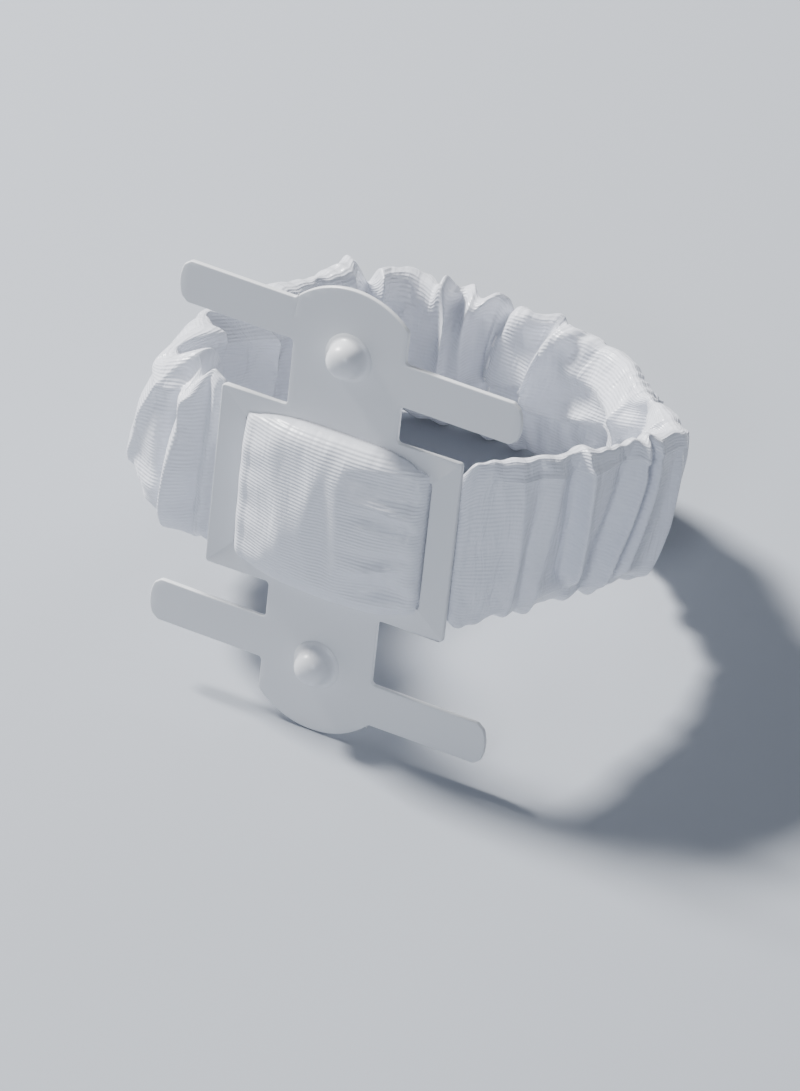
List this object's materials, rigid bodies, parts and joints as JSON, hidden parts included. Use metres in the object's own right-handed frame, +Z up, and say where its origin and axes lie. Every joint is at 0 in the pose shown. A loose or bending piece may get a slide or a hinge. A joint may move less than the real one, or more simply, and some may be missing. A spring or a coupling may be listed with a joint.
{
  "type": "wrist corsage band",
  "caption": "Elastic wrist band in a gathered satin sleeve with a padded bendable clip whose tabs and wrap-over arms hold a corsage.",
  "frame": {"origin": "centre of the footprint of the standing band, on the surface that it stands on", "axes": "+Z up; the clip faces -Y and leans back by 11 degrees; +X to the right as the clip is looked at from the front"},
  "size_m": [0.0764, 0.0753, 0.0683],
  "materials": {
    "clip_coat": "satin",
    "stud": "satin",
    "satin": "satin",
    "filling": "matte",
    "elastic": "matte",
    "thread": "satin"
  },
  "bodies": {
    "clip": {"clip_frame": "clip_coat", "sleeve_front": "satin", "pad_filling": "filling", "elastic_front": "elastic", "sleeve_left": "satin", "sleeve_right": "satin", "elastic_left": "elastic", "elastic_right": "elastic"},
    "band_back": {"sleeve_back": "satin", "elastic_back": "elastic", "elastic_lap_thread": "thread", "sleeve_closing_thread": "thread"},
    "upper_tab": {"upper_tab": "clip_coat", "upper_stud": "stud"},
    "lower_tab": {"lower_tab": "clip_coat", "lower_stud": "stud"},
    "upper_left_arm": {"upper_left_arm": "clip_coat"},
    "upper_left_arm_tip": {"upper_left_arm_tip": "clip_coat"},
    "upper_right_arm": {"upper_right_arm": "clip_coat"},
    "upper_right_arm_tip": {"upper_right_arm_tip": "clip_coat"},
    "lower_left_arm": {"lower_left_arm": "clip_coat"},
    "lower_left_arm_tip": {"lower_left_arm_tip": "clip_coat"},
    "lower_right_arm": {"lower_right_arm": "clip_coat"},
    "lower_right_arm_tip": {"lower_right_arm_tip": "clip_coat"}
  },
  "joints": [
    {"name": "band_stretch", "type": "slide", "parent": "clip", "child": "band_back", "axis": [0, 1, 0], "range_m": [0, 0.022], "stiffness_N_per_m": 220, "deforming": ["sleeve_left", "sleeve_right", "elastic_left", "elastic_right"]},
    {"name": "upper_tab_fold", "type": "hinge", "parent": "clip", "child": "upper_tab", "pos_m": [0.0015, -0.02637, 0.04947], "axis": [1, 0, 0], "range_deg": [0, 80]},
    {"name": "lower_tab_fold", "type": "hinge", "parent": "clip", "child": "lower_tab", "pos_m": [0.0015, -0.03233, 0.01885], "axis": [-1, 0, 0], "range_deg": [0, 80]},
    {"name": "upper_left_arm_fold", "type": "hinge", "parent": "upper_tab", "child": "upper_left_arm", "pos_m": [-0.0088, -0.02409, 0.06121], "axis": [0, 0.1908, 0.9816], "range_deg": [0, 90]},
    {"name": "upper_left_arm_tip_curl", "type": "hinge", "parent": "upper_left_arm", "child": "upper_left_arm_tip", "pos_m": [-0.0173, -0.02409, 0.06121], "axis": [0, 0.1908, 0.9816], "range_deg": [0, 80]},
    {"name": "upper_right_arm_fold", "type": "hinge", "parent": "upper_tab", "child": "upper_right_arm", "pos_m": [0.0118, -0.02497, 0.05669], "axis": [0, -0.1908, -0.9816], "range_deg": [0, 90]},
    {"name": "upper_right_arm_tip_curl", "type": "hinge", "parent": "upper_right_arm", "child": "upper_right_arm_tip", "pos_m": [0.0203, -0.02497, 0.05669], "axis": [0, -0.1908, -0.9816], "range_deg": [0, 80]},
    {"name": "lower_left_arm_fold", "type": "hinge", "parent": "lower_tab", "child": "lower_left_arm", "pos_m": [-0.0088, -0.03373, 0.01163], "axis": [0, 0.1908, 0.9816], "range_deg": [0, 90]},
    {"name": "lower_left_arm_tip_curl", "type": "hinge", "parent": "lower_left_arm", "child": "lower_left_arm_tip", "pos_m": [-0.0173, -0.03373, 0.01163], "axis": [0, 0.1908, 0.9816], "range_deg": [0, 80]},
    {"name": "lower_right_arm_fold", "type": "hinge", "parent": "lower_tab", "child": "lower_right_arm", "pos_m": [0.0118, -0.03461, 0.00712], "axis": [0, -0.1908, -0.9816], "range_deg": [0, 90]},
    {"name": "lower_right_arm_tip_curl", "type": "hinge", "parent": "lower_right_arm", "child": "lower_right_arm_tip", "pos_m": [0.0203, -0.03461, 0.00712], "axis": [0, -0.1908, -0.9816], "range_deg": [0, 80]}
  ],
  "couplings": [
    {"joint": "upper_left_arm_tip_curl", "follows": "upper_left_arm_fold", "ratio": 0.8888},
    {"joint": "upper_right_arm_tip_curl", "follows": "upper_right_arm_fold", "ratio": 0.8888},
    {"joint": "lower_left_arm_tip_curl", "follows": "lower_left_arm_fold", "ratio": 0.8888},
    {"joint": "lower_right_arm_tip_curl", "follows": "lower_right_arm_fold", "ratio": 0.8888}
  ]
}
